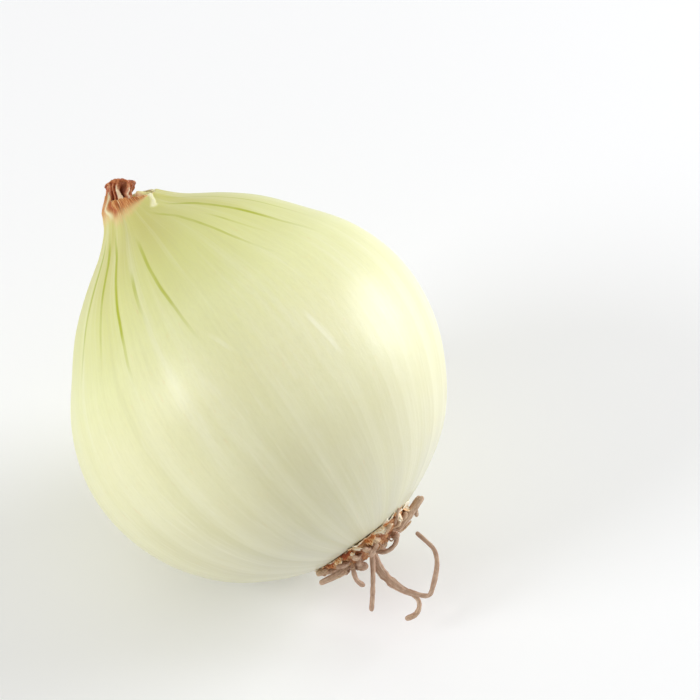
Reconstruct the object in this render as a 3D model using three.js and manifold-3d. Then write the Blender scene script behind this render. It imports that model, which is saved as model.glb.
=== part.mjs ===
// A whole sweet onion, peeled down to its first fresh scale, lying on its side.
// It has three grown parts: the round bulb with its open neck, the withered neck
// stub that stands in it, and the root plate with its dry roots.
//
// Sizes are in millimetres. Each part is modelled in the growth frame: +Z runs from the
// roots to the neck along the bulb's own axis, +X points to the side the neck leans to,
// and the widest girth is at z = 0. The last section lays the onion down.
import * as THREE from "three";
import { mergeVertices } from "three/addons/utils/BufferGeometryUtils.js";
import Module from "manifold-3d";

const wasm = await Module();
wasm.setup();

// Driving dimensions

// The bulb's half outline from the edge of the root plate to the rim: radius, height
const outlinePoints = [
  [11.6, -39],
  [19.5, -35.8],
  [28.6, -29.9],
  [35.6, -21.4],
  [40.2, -11.4],
  [41.9, -1],
  [40.7, 8.5],
  [36.9, 17.6],
  [31.1, 25.4],
  [25, 32.7],
  [18.2, 38.4],
  [11.6, 42.9],
  [7.6, 46.7],
  [6, 49],
  [5.4, 50.6],
];
const axisTilt = 0.028; // the sections drift towards +X on the way to the neck
const neckStart = 40; // above this the outline follows the slant of the rim
const rimHeights = [47.7, 48.7, 49.8, 50.2, 50.5, 50.2, 50.3, 50.2, 50.5, 49.9, 48.3, 47.3];
const cutEndAround = -0.75; // where the scale's thick cut end hangs, round from +X
const wallThickness = 0.75;
const socketRadius = 3.45;
const socketFloor = 44.3;
const socketAside = 0.25; // the stub's place in the neck, towards +X
const stubRadius = 3;
const stubWaist = 2.5;
const stubLip = 3.3;
const rootFace = 39; // from the girth to the level of the root plate
const plateRadius = 9.7;
const plateSink = 2; // how deep the root plate sits in the underside
const flangeRadius = 11.3;
const rootRadius = 0.55;
const growthGap = 0.35; // between two grown parts
const neckRise = THREE.MathUtils.degToRad(34.6); // the axis, above level
const axialTurn = THREE.MathUtils.degToRad(59.2); // the neck's lean, round from the top
const restDepth = 0.5; // how much is flattened where the onion lies

// Fineness of the meshes
const bulbSegments = 64;
const bulbSteps = 38;
const stubSegments = 28;
const plateSegments = 32;
const rootSides = 6;
const rootStep = 1.7;

const turn = 2 * Math.PI;
const rootsAcross = axisTilt * -20; // the root plate's centre, along X

// A number from -1 to 1 that only depends on its seed.
function draw(seed) {
  const wave = Math.sin(seed * 127.1 + 11.7) * 43758.5453;
  return 2 * (wave - Math.floor(wave)) - 1;
}

// Rises smoothly from 0 to 1 as x goes from start to end.
function ease(x, start, end) {
  return THREE.MathUtils.smoothstep(x, start, end);
}

// Building blocks

// A level ring of points round a middle that lies aside along X.
function levelRing(radius, height, aside, segments) {
  return Array.from({ length: segments }, (_, i) => {
    const around = (turn * i) / segments;
    return new THREE.Vector3(
      aside + radius * Math.cos(around),
      radius * Math.sin(around),
      height,
    );
  });
}

// Rings of points square to a curve. The shape function gives, for a share of the way and
// an angle round, the reach towards the facing direction and the reach across it.
function ringsAlong(curve, shares, sides, facing, shape) {
  return shares.map((share) => {
    const middle = curve.getPointAt(share);
    const tangent = curve.getTangentAt(share);
    const front = facing.clone().projectOnPlane(tangent).normalize();
    const side = tangent.clone().cross(front);
    return Array.from({ length: sides }, (_, i) => {
      const around = (turn * i) / sides;
      const [deep, wide] = shape(share, around);
      return middle
        .clone()
        .addScaledVector(front, deep * Math.cos(around))
        .addScaledVector(side, wide * Math.sin(around));
    });
  });
}

// A closed body from a stack of rings, each a list of as many points, with both ends
// closed by a fan. Rings run anticlockwise when seen from the last one.
function skinRings(rings) {
  const count = rings[0].length;
  const middles = [rings[0], rings.at(-1)].map((ring) =>
    ring
      .reduce((sum, point) => sum.add(point), new THREE.Vector3())
      .divideScalar(count),
  );
  const points = [...rings.flat(), ...middles];
  const faces = [];
  for (let i = 0; i < count; i++) {
    const next = (i + 1) % count;
    for (let ring = 0; ring < rings.length - 1; ring++) {
      const low = ring * count;
      const high = low + count;
      faces.push(low + i, low + next, high + next);
      faces.push(low + i, high + next, high + i);
    }
    const top = (rings.length - 1) * count;
    faces.push(next, i, rings.length * count);
    faces.push(top + i, top + next, rings.length * count + 1);
  }
  const geometry = new THREE.BufferGeometry().setFromPoints(points);
  geometry.setIndex(faces);
  return geometry;
}

function toSolid(geometry) {
  const bare = geometry.clone();
  bare.deleteAttribute("normal");
  bare.deleteAttribute("uv");
  const merged = mergeVertices(bare);
  return new wasm.Manifold(
    new wasm.Mesh({
      numProp: 3,
      vertProperties: merged.attributes.position.array,
      triVerts: new Uint32Array(merged.index.array),
    }),
  );
}

function toGeometry(solid) {
  const mesh = solid.getMesh();
  const geometry = new THREE.BufferGeometry();
  const positions = new THREE.BufferAttribute(mesh.vertProperties, 3);
  geometry.setAttribute("position", positions);
  geometry.setIndex(new THREE.BufferAttribute(mesh.triVerts, 1));
  geometry.computeVertexNormals();
  return geometry;
}

// Bulb

const outline = new THREE.SplineCurve(
  outlinePoints.map(([radius, height]) => new THREE.Vector2(radius, height)),
);
const fineOutline = outline.getPoints(600);

function radiusAt(height) {
  const above = fineOutline.findIndex((point) => point.y >= height);
  if (above < 1) {
    return fineOutline.at(above).x;
  }
  const low = fineOutline[above - 1];
  const high = fineOutline[above];
  return low.x + ((high.x - low.x) * (height - low.y)) / (high.y - low.y);
}

function asideAt(height) {
  return axisTilt * Math.max(height, -20) + 0.3 * ease(height, 28, 40);
}

// The torn rim of the neck, through heights that are evenly spaced round it from +X.
const rimLine = new THREE.SplineCurve(
  [...rimHeights, rimHeights[0]].map((height, i) => new THREE.Vector2(i, height)),
);

function rimAt(around) {
  return rimLine.getPoint(around / turn).y;
}

// 1 at the thick cut end of the scale, falling to 0 on both sides of it.
function cutEnd(around) {
  return Math.exp((Math.cos(around - cutEndAround) - 1) / 0.06);
}

// How far the skin stands in or out of the plain outline: broad low swells that the
// scales underneath press up, and furrows that gather at the neck.
function skinRelief(around, height) {
  const swell = 0.2 * Math.cos(3 * around + 0.6) + 0.16 * Math.cos(5 * around + 2.1);
  const furrow = 0.15 * Math.cos(13 * around + 0.8) + 0.1 * Math.cos(19 * around);
  const nearNeck = ease(height, 20, 42);
  const nearRoots = 1 - ease(height, -38, -26);
  return swell * (1 - nearRoots) * (1 - nearNeck) + furrow * (nearNeck + 0.6 * nearRoots);
}

// One ring of the bulb's skin, at a level of the outline.
function skinRing(level) {
  const top = outlinePoints.at(-1)[1];
  return Array.from({ length: bulbSegments }, (_, i) => {
    const around = (turn * i) / bulbSegments;
    const share = Math.max(0, (level - neckStart) / (top - neckStart));
    const height = Math.min(level, neckStart) + share * (rimAt(around) - neckStart);
    const out = radiusAt(height) + skinRelief(around, height);
    return new THREE.Vector3(
      asideAt(height) + out * Math.cos(around),
      out * Math.sin(around),
      height,
    );
  });
}

// A ring along the rim, drawn in from the skin and down from the rim.
function rimRing(inward, downward) {
  return Array.from({ length: bulbSegments }, (_, i) => {
    const around = (turn * i) / bulbSegments;
    const height = rimAt(around) - downward;
    const thick = 1 + 0.8 * cutEnd(around);
    const out = radiusAt(rimAt(around)) + skinRelief(around, height) - inward * thick;
    return new THREE.Vector3(
      asideAt(height) + out * Math.cos(around),
      out * Math.sin(around),
      height,
    );
  });
}

function makeBulb() {
  const levels = outline.getSpacedPoints(bulbSteps).map((point) => point.y);
  const seatRadius = plateRadius + growthGap;
  const seatRoof = plateSink - rootFace;
  const rings = [
    levelRing(seatRadius * 0.5, seatRoof, rootsAcross, bulbSegments),
    levelRing(seatRadius, seatRoof, rootsAcross, bulbSegments),
    levelRing(seatRadius, 0.4 - rootFace, rootsAcross, bulbSegments),
    ...levels.map(skinRing),
    rimRing(0.4 * wallThickness, -0.2),
    rimRing(wallThickness, 0.4),
    levelRing(socketRadius + 0.9, 46.9, socketAside + 0.9, bulbSegments),
    levelRing(socketRadius, 46.3, socketAside, bulbSegments),
    levelRing(socketRadius, socketFloor, socketAside, bulbSegments),
    levelRing(socketRadius * 0.5, socketFloor, socketAside, bulbSegments),
  ];
  return skinRings(rings);
}

// Neck stub

// A withered tube of dead leaf bases: it stands in the neck, bends over, narrows to a
// waist and flares into a crumpled lip with a pit in it. Its wall is pleated all round.
function makeNeckStub() {
  const foot = socketFloor + growthGap;
  const curve = new THREE.CatmullRomCurve3([
    new THREE.Vector3(socketAside, 0, foot),
    new THREE.Vector3(socketAside, 0, 48.4),
    new THREE.Vector3(1.1, 0, 50.9),
    new THREE.Vector3(2.6, 0, 52.7),
    new THREE.Vector3(3.3, 0, 53.6),
  ]);
  // share of the way up, radius, and depth of the pleats
  const steps = [
    [0, 0.5 * stubRadius, 0],
    [0, stubRadius, 0],
    [0.2, stubRadius, 0.02],
    [0.4, stubRadius - 0.1, 0.06],
    [0.53, stubRadius - 0.25, 0.2],
    [0.64, stubWaist, 0.36],
    [0.74, stubWaist + 0.15, 0.42],
    [0.82, stubLip - 0.05, 0.4],
    [0.88, stubLip, 0.34],
    [0.95, stubLip - 0.35, 0.3],
    [1, stubLip - 1.1, 0.24],
    [0.95, stubLip - 1.9, 0.15],
    [0.86, stubLip - 2.6, 0.05],
  ];
  const rings = steps.flatMap(([share, size, pleat]) =>
    ringsAlong(curve, [share], stubSegments, new THREE.Vector3(0, 1, 0), (_, around) => {
      const fold = Math.cos(7 * around + 2 * share) + 0.55 * Math.cos(4 * around + 1.2);
      const radius = size + pleat * fold;
      return [radius, radius];
    }),
  );
  return skinRings(rings);
}

// Root plate and roots

// A point of a root: across towards +X, out from the level of the root plate, and aside
// towards +Y.
function fromPlate(across, out, aside) {
  return new THREE.Vector3(across, aside, -rootFace - out);
}

// One dry root: a tube along a smooth curve through its points, thinner at the tip. It is
// broader than deep where flatness is over 1, with its flat sides to the facing direction.
function makeRoot(points, radius, flatness = 1, facing = new THREE.Vector3(0, 1, 0)) {
  const curve = new THREE.CatmullRomCurve3(points);
  const steps = Math.max(3, Math.round(curve.getLength() / rootStep));
  const shares = Array.from({ length: steps + 1 }, (_, step) => step / steps);
  const rings = ringsAlong(curve, shares, rootSides, facing, (share) => {
    const deep = radius * (1 - 0.25 * share);
    return [deep, deep * (1 + (flatness - 1) * Math.sin(Math.PI * share))];
  });
  return skinRings(rings);
}

// The long roots, one by one. Each point is across, out, aside.
const longRoots = [
  { width: 1.05, path: [[0.5, 1.5, -1], [-1.6, 5.2, -1.5], [-5.3, 10.3, -2], [-8.1, 13.7, -2.2]] },
  {
    width: 1.1,
    flatness: 1.9,
    path: [[0.4, 1.5, 0], [-1.4, 6.6, 0.4], [-1.4, 10.4, 0.2], [-0.5, 13.8, -0.2], [0.8, 16.3, -0.4]],
  },
  {
    width: 1.05,
    path: [
      [0.1, 14.8, -0.3],
      [2, 17.4, -0.5],
      [3.6, 18.8, -1],
      [5.3, 17.7, -1.6],
      [8.8, 14.4, -2],
      [10.3, 11.6, -1.8],
      [10.1, 9.1, -1.2],
      [9.5, 6.3, -0.6],
    ],
  },
  {
    width: 1.05,
    path: [[0.2, 14.8, -0.3], [1.1, 17.6, 0.1], [0.5, 19.2, 0.5], [-1.4, 20.6, 0.9], [-3.1, 20.4, 1.3]],
  },
  { width: 1.15, path: [[-4, 1, -3], [-6, 4.2, -4.2], [-6.8, 6.4, -4.6], [-6.3, 8.3, -4]] },
  { width: 1.7, path: [[-3, 1.5, -2.4], [-5, 4, -3.4], [-3.6, 5.2, -4]] },
  {
    width: 1.25,
    flatness: 1.5,
    path: [[-3, 1.6, -2], [-7.7, 1.7, -3], [-10.4, 1.4, -3.4], [-13, 0.9, -3.2]],
  },
  {
    width: 1.35,
    flatness: 1.7,
    path: [[-3.4, 1.9, -1], [-8, 2.3, -2], [-11, 2.4, -2.4], [-13.9, 2, -2]],
  },
  {
    width: 1.05,
    path: [[-0.8, 3, -3], [1.4, 5.2, -3.6], [3.8, 5.4, -3.8], [5.7, 4.2, -3.4], [6.4, 1.9, -2.8]],
  },
  {
    width: 1.4,
    flatness: 1.5,
    path: [[3, 2, -1], [6.7, 2.9, -2], [10.6, 2, -2.4], [15, 0.8, -2]],
  },
  { width: 1.15, path: [[4, 1.6, 1], [8.6, 2, 0.6], [12, 1.3, 0.4], [14.3, 0.5, 0.6]] },
  { width: 0.95, path: [[12.8, 1.2, -2.4], [12.3, 2.1, -2.6], [11.6, 3.3, -2.4]] },
  { width: 0.95, path: [[2, 1, 5], [3.4, 3.2, 9], [2, 4.2, 12], [3.6, 3.4, 15.4]] },
  { width: 0.95, path: [[-3, 1, 5], [-5, 2.8, 9.4], [-4.2, 3.6, 12], [-6.6, 3, 14]] },
  { width: 0.95, path: [[-1, 1, -5], [0.4, 3, -9.4], [-0.8, 3.6, -12.4], [1.6, 2.6, -14.6]] },
];

// The plate is a low dome with a flange over the bulb's edge, knobbly underneath.
function makePlate() {
  const steps = [
    [0.5 * plateRadius, growthGap - plateSink],
    [plateRadius, growthGap - plateSink],
    [plateRadius, growthGap],
    [flangeRadius, growthGap + 0.1],
    [flangeRadius - 0.3, 1.1],
    [8.8, 2.4],
    [5.4, 3.6],
    [2.2, 4.2],
  ];
  const rings = steps.map(([radius, out]) => {
    const knobbly = ease(out, growthGap, 2.4);
    return levelRing(radius, -rootFace - out, rootsAcross, plateSegments)
      .reverse()
      .map((point, i) => {
        const around = (turn * i) / plateSegments;
        point.z -= 0.35 * knobbly * Math.cos(5 * around + radius);
        point.x += 0.5 * knobbly * Math.cos(9 * around) * Math.cos(around);
        return point;
      });
  });
  return skinRings(rings);
}

function makeRootTuft() {
  const axis = new THREE.Vector3(0, 0, 1);
  const pieces = [makePlate()];

  for (const { path, width, flatness } of longRoots) {
    const points = path.map((point) => fromPlate(...point));
    const runsAside = Math.abs(path[0][2] - path.at(-1)[2]) > 6;
    const facing = runsAside ? axis : undefined;
    pieces.push(makeRoot(points, rootRadius * width, flatness, facing));
  }

  // Broken roots pressed flat round the plate's edge
  const edgeCount = 19;
  for (let i = 0; i < edgeCount; i++) {
    const around = (turn * (i + 0.35 * draw(i))) / edgeCount;
    const reach = 12.3 + 1.1 * draw(i + 50);
    const out = 2.1 + 0.5 * draw(i + 90);
    const swerve = 0.14 * draw(i + 130);
    const points = [
      [6, 1.8, 0],
      [9.6, out, 0.5 * swerve],
      [reach, out - 0.7, swerve],
    ].map(([far, down, side]) =>
      fromPlate(
        rootsAcross + far * Math.cos(around + side),
        down,
        far * Math.sin(around + side),
      ),
    );
    const width = rootRadius * (1.2 + 0.25 * draw(i + 170));
    pieces.push(makeRoot(points, width, 1.6, axis));
  }

  // Broken roots on the plate's face
  const faceCount = 13;
  for (let i = 0; i < faceCount; i++) {
    const around = turn * (i * 0.382 + 0.1);
    const far = 1.4 + 6 * Math.sqrt(i / faceCount);
    const reach = 5.2 - 0.25 * far + 0.8 * draw(i + 210);
    const drift = 1.6 * draw(i + 250);
    const points = [
      [far, 1.6, 0],
      [far + 0.5, 0.6 * reach + 0.9, 0.4 * drift],
      [far + 1.3, reach, drift],
    ].map(([from, down, side]) =>
      fromPlate(
        rootsAcross + from * Math.cos(around) - side * Math.sin(around),
        down,
        from * Math.sin(around) + side * Math.cos(around),
      ),
    );
    pieces.push(makeRoot(points, rootRadius * (1.4 + 0.3 * draw(i + 290))));
  }
  return toGeometry(pieces.map(toSolid).reduce((sum, piece) => sum.add(piece)));
}

// Laying the onion down

const lying = new THREE.Group();
lying.rotation.y = neckRise - Math.PI / 2;
const grown = new THREE.Group();
grown.rotation.z = axialTurn;
lying.add(grown);

// Flattens the underside by a level plane, restDepth up from the bulb's lowest point.
function flattenUnderside(geometry) {
  lying.updateMatrixWorld(true);
  const laid = geometry.clone().applyMatrix4(grown.matrixWorld);
  laid.computeBoundingBox();
  lying.position.z = -(laid.boundingBox.min.z + restDepth);
  lying.updateMatrixWorld(true);
  const block = new THREE.BoxGeometry(60, 60, 20).translate(0, 0, -10);
  block.applyMatrix4(grown.matrixWorld.clone().invert());
  return toGeometry(toSolid(geometry).subtract(toSolid(block)));
}

function addPart(name, geometry, colour, roughness) {
  const material = new THREE.MeshStandardMaterial({
    color: colour,
    roughness,
    metalness: 0,
  });
  const mesh = new THREE.Mesh(geometry, material);
  mesh.name = name;
  grown.add(mesh);
}

addPart("bulb", flattenUnderside(makeBulb()), 0xe0dfae, 0.35);
addPart("neck_stub", makeNeckStub(), 0xa8653f, 0.7);
addPart("root_tuft", makeRootTuft(), 0xb08b6d, 0.8);

export default lying;
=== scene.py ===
import bisect
import math

import bpy
from mathutils import Matrix, Vector, noise


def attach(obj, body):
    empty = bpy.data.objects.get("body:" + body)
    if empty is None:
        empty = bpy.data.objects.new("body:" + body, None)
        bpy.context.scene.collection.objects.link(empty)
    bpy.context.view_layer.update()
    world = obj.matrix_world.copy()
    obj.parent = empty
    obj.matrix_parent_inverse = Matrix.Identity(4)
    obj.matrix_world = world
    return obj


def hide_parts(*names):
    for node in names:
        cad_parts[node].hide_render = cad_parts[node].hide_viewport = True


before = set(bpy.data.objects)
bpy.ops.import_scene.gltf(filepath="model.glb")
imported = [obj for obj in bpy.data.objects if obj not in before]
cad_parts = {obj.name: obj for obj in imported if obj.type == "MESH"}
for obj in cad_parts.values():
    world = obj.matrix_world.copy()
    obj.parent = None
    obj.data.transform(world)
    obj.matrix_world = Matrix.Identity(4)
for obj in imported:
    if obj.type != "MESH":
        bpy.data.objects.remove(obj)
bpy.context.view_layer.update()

fullTurn = 2 * math.pi

# Each piece is modelled in millimetres as the onion grows, roots at -Z, neck at +Z and the
# widest girth at z = 0. layDown() turns it onto its side, in metres. Degrees round the axis
# are counted from +X.
pose = {
    "girthHeight": 41.477,  # table to the middle of the girth
    "neckRise": 34.6,  # degrees, the axis above level
    "axialTurn": 59.2,  # degrees, the onion turned round its own axis
    "lowest": 0.02,  # flattened where it lies
}
shape = {
    "outline": [  # radius, height
        (11.6, -39), (19.5, -35.8), (28.6, -29.9), (35.6, -21.4), (40.2, -11.4),
        (41.9, -1), (40.7, 8.5), (36.9, 17.6), (31.1, 25.4), (25, 32.7),
        (18.2, 38.4), (11.6, 42.9), (7.6, 46.7), (6, 49), (5.4, 50.6),
    ],
    "rimHeights": [47.7, 48.7, 49.8, 50.2, 50.5, 50.2, 50.3, 50.2, 50.5, 49.9, 48.3, 47.3],
    "neckStart": 40,  # above this the outline is stretched to meet the rim
    "axisTilt": 0.028,  # how far the axis leans towards +X with height
    "tiltStart": -20,
    "neckShift": 0.3,  # and how much further at the neck
    "shoulder": (28, 40),
    "tongue": ((-232, -195), (-133, -123)),  # degrees over which it rises and ends
    "tongueEdge": {"place": -127, "bulge": 12, "height": 50, "spread": 1.1},
    "crease": {"beside": 9, "width": 6, "heights": (46.9, 48.9)},
    "cutEnd": ((-44, 47.2), (-62, 44.6)),  # degrees round from +X and height, top and foot
    "cutEndEdge": (0.15, 0.95),  # from its middle line, full thickness and none
}
rootsAcross = shape["axisTilt"] * shape["tiltStart"]
rootFace = 39  # the plate's face is this far below the girth


def srgb(red, green, blue):  # 0 to 255 as seen on a screen, to linear with alpha
    def linear(value):
        value = value / 255
        return value / 12.92 if value < 0.04045 else ((value + 0.055) / 1.055) ** 2.4
    return (linear(red), linear(green), linear(blue), 1)


def clamp(x):
    return min(1, max(0, x))


def smoothStep(x, start, end):
    share = clamp((x - start) / (end - start))
    return share * share * (3 - 2 * share)


def bell(x, width):
    return math.exp(-(x / width) ** 2)


def pointOnLine(points, share):  # smooth line through the points, share 0 to 1
    place = (len(points) - 1) * share
    i = min(int(place), len(points) - 2)
    t = place - i
    p0, p1 = points[max(i - 1, 0)], points[i]
    p2, p3 = points[i + 1], points[min(i + 2, len(points) - 1)]
    result = []
    for a, b, c, d in zip(p0, p1, p2, p3):
        v0, v1 = (c - a) / 2, (d - b) / 2
        cubic = 2 * b - 2 * c + v0 + v1
        square = 3 * c - 3 * b - 2 * v0 - v1
        result.append(cubic * t ** 3 + square * t * t + v0 * t + b)
    return result


outlineSteps = 800
fineOutline = [pointOnLine(shape["outline"], i / outlineSteps) for i in range(outlineSteps + 1)]
fineHeights = [point[1] for point in fineOutline]


def radiusAt(height):
    i = min(max(bisect.bisect(fineHeights, height), 1), outlineSteps)
    low, high = fineOutline[i - 1], fineOutline[i]
    share = clamp((height - low[1]) / (high[1] - low[1]))
    return low[0] + (high[0] - low[0]) * share


def skinHeight(radius):  # where the bulb's underside lies at a radius
    for out, height in fineOutline:
        if out >= radius:
            return height
    return 0


def asideAt(height):  # how far the leaning axis is from the middle
    lean = shape["axisTilt"] * max(height, shape["tiltStart"])
    return lean + shape["neckShift"] * smoothStep(height, *shape["shoulder"])


def rimAt(around):
    closed = [(height,) for height in shape["rimHeights"] + shape["rimHeights"][:1]]
    return pointOnLine(closed, (around % fullTurn) / fullTurn)[0]


def tongueAt(around):  # on one side the skin runs on up the stub
    degrees = math.degrees(around)
    degrees -= 360 if degrees > 60 else 0
    rise, end = shape["tongue"]
    return smoothStep(degrees, *rise) * (1 - smoothStep(degrees, *end))


def tongueEdgeAt(height):  # in degrees
    edge = shape["tongueEdge"]
    return edge["place"] - edge["bulge"] * bell(height - edge["height"], edge["spread"])


def creaseAt(around, height):  # the fold beside it
    crease = shape["crease"]
    off = math.degrees(around) - tongueEdgeAt(height) - crease["beside"]
    return bell(off, crease["width"]) * smoothStep(height, *crease["heights"])


def cutEndAt(around, out, height):  # the thick cut end of the scale hangs down from the rim
    top, foot = shape["cutEnd"]
    share = clamp((top[1] - height) / (top[1] - foot[1]))
    middle = math.radians(top[0] + (foot[0] - top[0]) * share)
    beside = out * abs(around - middle)
    beyond = max(0, height - top[1], foot[1] - height)
    return 1 - smoothStep(math.hypot(beside, beyond), *shape["cutEndEdge"])


def noiseRound(around, scale, level):  # unevenness that closes on itself round the axis
    return noise.noise(Vector((scale * math.cos(around), scale * math.sin(around), level)))


def polar(x, y):  # on the axis itself, where rounding would give any direction, it is -X
    out = math.hypot(x, y)
    return (math.atan2(y, x) if out > 0.001 else math.pi), out


def deselectAll():
    if bpy.context.object and bpy.context.object.mode != "OBJECT":
        bpy.ops.object.mode_set(mode="OBJECT")
    bpy.ops.object.select_all(action="DESELECT")


def startRing(name, segments, radius, height):  # a plain ring, left in edit mode
    deselectAll()
    bpy.ops.mesh.primitive_circle_add(vertices=segments, radius=radius, location=(0, 0, height))
    piece = bpy.context.object
    piece.name = piece.data.name = name
    bpy.ops.object.transform_apply(location=True)
    bpy.ops.object.mode_set(mode="EDIT")
    bpy.ops.mesh.select_all(action="SELECT")
    return piece


def growRings(start, steps):  # extrude the open ring from level to level: radius, height
    radius, height = start
    for nextRadius, nextHeight in steps:
        lift = {"value": (0, 0, nextHeight - height)}
        bpy.ops.mesh.extrude_region_move(TRANSFORM_OT_translate=lift)
        scale = nextRadius / radius
        middle = (0, 0, nextHeight)
        bpy.ops.transform.resize(value=(scale, scale, 1), center_override=middle)
        radius, height = nextRadius, nextHeight


def selectRing(piece, height):
    bpy.ops.object.mode_set(mode="OBJECT")
    for vertex in piece.data.vertices:
        vertex.select = abs(vertex.co.z - height) < 0.001
    for edge in piece.data.edges:
        edge.select = all(piece.data.vertices[i].select for i in edge.vertices)
    for face in piece.data.polygons:
        face.select = False
    bpy.ops.object.mode_set(mode="EDIT")


def closeUp(piece, smoothing=0):  # outward normals, smooth shading, finer faces
    bpy.ops.mesh.select_all(action="SELECT")
    bpy.ops.mesh.normals_make_consistent(inside=False)
    bpy.ops.object.mode_set(mode="OBJECT")
    if smoothing:
        finer = piece.modifiers.new("finer", "SUBSURF")
        finer.levels = finer.render_levels = smoothing
        bpy.ops.object.modifier_apply(modifier="finer")
    bpy.ops.object.shade_smooth()


def layDown(piece):
    place = Matrix.Translation((0, 0, pose["girthHeight"] / 1000))
    tip = Matrix.Rotation(math.radians(pose["neckRise"] - 90), 4, "Y")
    roll = Matrix.Rotation(math.radians(pose["axialTurn"]), 4, "Z")
    piece.data.transform(place @ tip @ roll @ Matrix.Scale(0.001, 4))
    for vertex in piece.data.vertices:
        vertex.co.z = max(vertex.co.z, pose["lowest"] / 1000)


def keepAttribute(piece, name, values, kind="FLOAT"):
    layer = piece.data.attributes.new(name, kind, "POINT")
    for item, value in zip(layer.data, values):
        if kind == "FLOAT":
            item.value = value
        else:
            item.vector = value


def dressAs(piece, node, material):
    piece.data.materials.clear()
    piece.data.materials.append(material)
    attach(piece, "root")
    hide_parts(node)


# Materials are wired with a few helpers, so that each one reads top to bottom
class Wiring:
    def __init__(self, name):
        self.material = bpy.data.materials.new(name)
        self.material.use_nodes = True
        self.nodes = self.material.node_tree.nodes
        self.links = self.material.node_tree.links
        self.shader = self.nodes["Principled BSDF"]

    def link(self, source, target):
        if hasattr(source, "is_output"):
            self.links.new(source, target)
        else:
            target.default_value = source

    def attribute(self, name, output="Fac"):
        node = self.nodes.new("ShaderNodeAttribute")
        node.attribute_name = name
        return node.outputs[output]

    def split(self, vector):
        node = self.nodes.new("ShaderNodeSeparateXYZ")
        self.link(vector, node.inputs[0])
        return node.outputs

    def stretch(self, vector, scale):
        node = self.nodes.new("ShaderNodeMapping")
        self.link(vector, node.inputs["Vector"])
        node.inputs["Scale"].default_value = scale
        return node.outputs[0]

    def objectPoint(self):
        return self.nodes.new("ShaderNodeTexCoord").outputs["Object"]

    def grain(self, vector, scale, detail=3, roughness=0.5):
        node = self.nodes.new("ShaderNodeTexNoise")
        self.link(vector, node.inputs["Vector"])
        node.inputs["Scale"].default_value = scale
        node.inputs["Detail"].default_value = detail
        node.inputs["Roughness"].default_value = roughness
        return node.outputs["Fac"]

    def streaks(self, vector, scale, detail=3, roughness=0.5):  # a grain that is drawn out
        return self.grain(self.stretch(vector, scale), 1, detail, roughness)

    def calc(self, operation, first, second=0.0, third=0.0):
        node = self.nodes.new("ShaderNodeMath")
        node.operation = operation
        for value, socket in zip((first, second, third), node.inputs):
            self.link(value, socket)
        return node.outputs[0]

    def plus(self, first, second):
        return self.calc("ADD", first, second)

    def minus(self, first, second):
        return self.calc("SUBTRACT", first, second)

    def times(self, first, second):
        return self.calc("MULTIPLY", first, second)

    def larger(self, first, second):
        return self.calc("MAXIMUM", first, second)

    def weigh(self, first, firstShare, second, secondShare):
        return self.plus(self.times(first, firstShare), self.times(second, secondShare))

    def roughen(self, value, grain, amount):  # the grain moves the value up and down
        return self.plus(value, self.times(self.minus(grain, 0.5), amount))

    def span(self, value, fromLow, fromHigh, toLow=0.0, toHigh=1.0):
        node = self.nodes.new("ShaderNodeMapRange")
        node.interpolation_type = "SMOOTHSTEP"
        for item, socket in zip((value, fromLow, fromHigh, toLow, toHigh), node.inputs):
            self.link(item, socket)
        return node.outputs[0]

    def mix(self, share, first, second):
        node = self.nodes.new("ShaderNodeMix")
        node.data_type = "RGBA"
        self.link(share, node.inputs[0])
        self.link(first, node.inputs[6])
        self.link(second, node.inputs[7])
        return node.outputs[2]

    def ramp(self, value, stops):
        node = self.nodes.new("ShaderNodeValToRGB")
        self.link(value, node.inputs[0])
        band = node.color_ramp
        while len(band.elements) < len(stops):
            band.elements.new(0.5)
        for element, (place, colour) in zip(band.elements, stops):
            element.position = place
            element.color = colour
        return node.outputs[0]

    def bump(self, height, strength, distance):
        node = self.nodes.new("ShaderNodeBump")
        self.link(height, node.inputs["Height"])
        node.inputs["Strength"].default_value = strength
        node.inputs["Distance"].default_value = distance
        self.link(node.outputs[0], self.shader.inputs["Normal"])

    def constants(self, **values):
        for name, value in values.items():
            self.shader.inputs[name.replace("_", " ")].default_value = value


# The camera and the light stand as in the photograph: it looks down at 45 degrees, square to
# the onion's axis, with a long lens
view = {
    "around": 43.69,
    "above": 45,
    "away": 0.62,
    "width": 0.1508,  # what the frame takes in at the onion
    "right": 0.0202,  # the view's middle, from the middle of the girth
    "up": 0.0086,
    "sensor": 36,
    "clip": (0.01, 20),
}
viewAround, viewAbove = math.radians(view["around"]), math.radians(view["above"])
toCamera = Vector((
    math.sin(viewAround) * math.cos(viewAbove),
    -math.cos(viewAround) * math.cos(viewAbove),
    math.sin(viewAbove),
))
toRight = Vector((math.cos(viewAround), math.sin(viewAround), 0))
toTop = toCamera.cross(toRight)
girthMiddle = Vector((0, 0, pose["girthHeight"] / 1000))


def fromView(right, up, near):  # a point or direction given as the photograph shows it
    return toRight * right + toTop * up + toCamera * near


def makeCamera():
    data = bpy.data.cameras.new("camera")
    data.sensor_width = view["sensor"]
    data.lens = view["sensor"] * view["away"] / view["width"]
    data.clip_start, data.clip_end = view["clip"]
    camera = bpy.data.objects.new("camera", data)
    bpy.context.scene.collection.objects.link(camera)
    turn = Matrix((toRight, toTop, toCamera)).transposed().to_4x4()
    place = girthMiddle + fromView(view["right"], view["up"], view["away"])
    camera.matrix_world = Matrix.Translation(place) @ turn
    bpy.context.scene.camera = camera


studio = {
    "lights": {
        "key": {"right": 1, "up": 0.6, "near": 0, "size": 0.8, "power": 10.6},
        "left": {"right": -0.9, "up": 0.1, "near": 0.7, "size": 0.5, "power": 5.4},
    },
    "lightColour": (0.95, 0.98, 1.05),
    "skyColour": (1, 0.985, 0.955, 1),
    "skyPower": 0.58,
    "floorSize": 6,
    "floorColours": ((0.92, 0.92, 0.915, 1), (0.95, 0.95, 0.945, 1)),
}


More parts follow.
